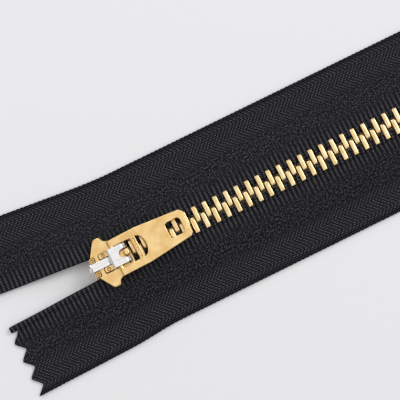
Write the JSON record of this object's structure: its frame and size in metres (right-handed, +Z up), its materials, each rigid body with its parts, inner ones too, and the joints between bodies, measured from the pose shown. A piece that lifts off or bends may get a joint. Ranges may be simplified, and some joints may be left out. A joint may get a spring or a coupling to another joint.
{
  "type": "zipper",
  "caption": "Closed-end metal zipper: two woven tapes, brass teeth, top and bottom stops, pin-lock slider with spring and swinging pull tab.",
  "frame": {"origin": "on the surface the zipper lies on, under the middle of its length, on the chain's centre line", "axes": "+X down the zipper from its open top end to its closed bottom end, +Y towards the left tape, +Z up, away from the surface it lies on"},
  "size_m": [0.1164, 0.0338, 0.0063],
  "materials": {
    "tape": "woven black polyester tape",
    "bead_cord": "black cord covered by the tape's weave",
    "tooth_brass": "tumbled brass",
    "slider_brass": "polished, lacquered brass",
    "spring_nickel": "nickel-plated spring steel"
  },
  "bodies": {
    "bottom_end": {"bottom_stop": "tooth_brass", "left_tape_foot": "tape", "right_tape_foot": "tape"},
    "left_side": {"left_tape": "tape", "left_bead_cord": "bead_cord", "left_tooth_01": "tooth_brass", "left_tooth_02": "tooth_brass", "left_tooth_03": "tooth_brass", "left_tooth_04": "tooth_brass", "left_tooth_05": "tooth_brass", "left_tooth_06": "tooth_brass", "left_tooth_07": "tooth_brass", "left_tooth_08": "tooth_brass", "left_tooth_09": "tooth_brass", "left_tooth_10": "tooth_brass", "left_tooth_11": "tooth_brass", "left_tooth_12": "tooth_brass", "left_tooth_13": "tooth_brass", "left_tooth_14": "tooth_brass", "left_tooth_15": "tooth_brass", "left_tooth_16": "tooth_brass", "left_tooth_17": "tooth_brass", "left_tooth_18": "tooth_brass", "left_tooth_19": "tooth_brass", "left_tooth_20": "tooth_brass", "left_tooth_21": "tooth_brass", "left_tooth_22": "tooth_brass", "left_tooth_23": "tooth_brass", "left_top_stop": "tooth_brass"},
    "right_side": {"right_tape": "tape", "right_bead_cord": "bead_cord", "right_tooth_01": "tooth_brass", "right_tooth_02": "tooth_brass", "right_tooth_03": "tooth_brass", "right_tooth_04": "tooth_brass", "right_tooth_05": "tooth_brass", "right_tooth_06": "tooth_brass", "right_tooth_07": "tooth_brass", "right_tooth_08": "tooth_brass", "right_tooth_09": "tooth_brass", "right_tooth_10": "tooth_brass", "right_tooth_11": "tooth_brass", "right_tooth_12": "tooth_brass", "right_tooth_13": "tooth_brass", "right_tooth_14": "tooth_brass", "right_tooth_15": "tooth_brass", "right_tooth_16": "tooth_brass", "right_tooth_17": "tooth_brass", "right_tooth_18": "tooth_brass", "right_tooth_19": "tooth_brass", "right_tooth_20": "tooth_brass", "right_tooth_21": "tooth_brass", "right_tooth_22": "tooth_brass", "right_tooth_23": "tooth_brass", "right_top_stop": "tooth_brass"},
    "slider": {"slider_body": "slider_brass"},
    "spring": {"lock_spring": "spring_nickel"},
    "tab": {"pull_tab": "slider_brass"}
  },
  "joints": [
    {"name": "slider_travel", "type": "slide", "parent": "bottom_end", "child": "slider", "axis": [1, 0, 0], "range_m": [0, 0.0711], "deforming": ["left_bead_cord", "left_tooth_01", "left_tooth_02", "left_tooth_03", "left_tooth_04", "left_tooth_05", "left_tooth_06", "left_tooth_07", "left_tooth_08", "left_tooth_09", "left_tooth_10", "left_tooth_11", "left_tooth_12", "left_tooth_13", "left_tooth_14", "left_tooth_15", "left_tooth_16", "left_tooth_17", "left_tooth_18", "left_tooth_19", "left_tooth_20", "left_tooth_21", "left_tooth_22", "left_tooth_23", "right_bead_cord", "right_tooth_01", "right_tooth_02", "right_tooth_03", "right_tooth_04", "right_tooth_05", "right_tooth_06", "right_tooth_07", "right_tooth_08", "right_tooth_09", "right_tooth_10", "right_tooth_11", "right_tooth_12", "right_tooth_13", "right_tooth_14", "right_tooth_15", "right_tooth_16", "right_tooth_17", "right_tooth_18", "right_tooth_19", "right_tooth_20", "right_tooth_21", "right_tooth_22", "right_tooth_23"]},
    {"name": "left_side_opens", "type": "hinge", "parent": "bottom_end", "child": "left_side", "pos_m": [0.04085, 0, 0.00222], "axis": [0, 0, -1], "range_deg": [0, 8]},
    {"name": "right_side_opens", "type": "hinge", "parent": "bottom_end", "child": "right_side", "pos_m": [0.04085, 0, 0.00222], "axis": [0, 0, 1], "range_deg": [0, 8]},
    {"name": "pull_tab_swing", "type": "hinge", "parent": "slider", "child": "tab", "pos_m": [-0.03465, 0, 0.00524], "axis": [0.0523, -0.9986, 0], "range_deg": [0, 170]},
    {"name": "lock_spring_lift", "type": "hinge", "parent": "slider", "child": "spring", "pos_m": [-0.03993, 0, 0.00344], "axis": [0, -1, 0], "range_deg": [0, 5]}
  ],
  "couplings": [
    {"joint": "left_side_opens", "follows": "slider_travel", "rad_per_m": 1.9638},
    {"joint": "right_side_opens", "follows": "slider_travel", "rad_per_m": 1.9638},
    {"joint": "lock_spring_lift", "follows": "pull_tab_swing", "ratio": 0.029411}
  ]
}
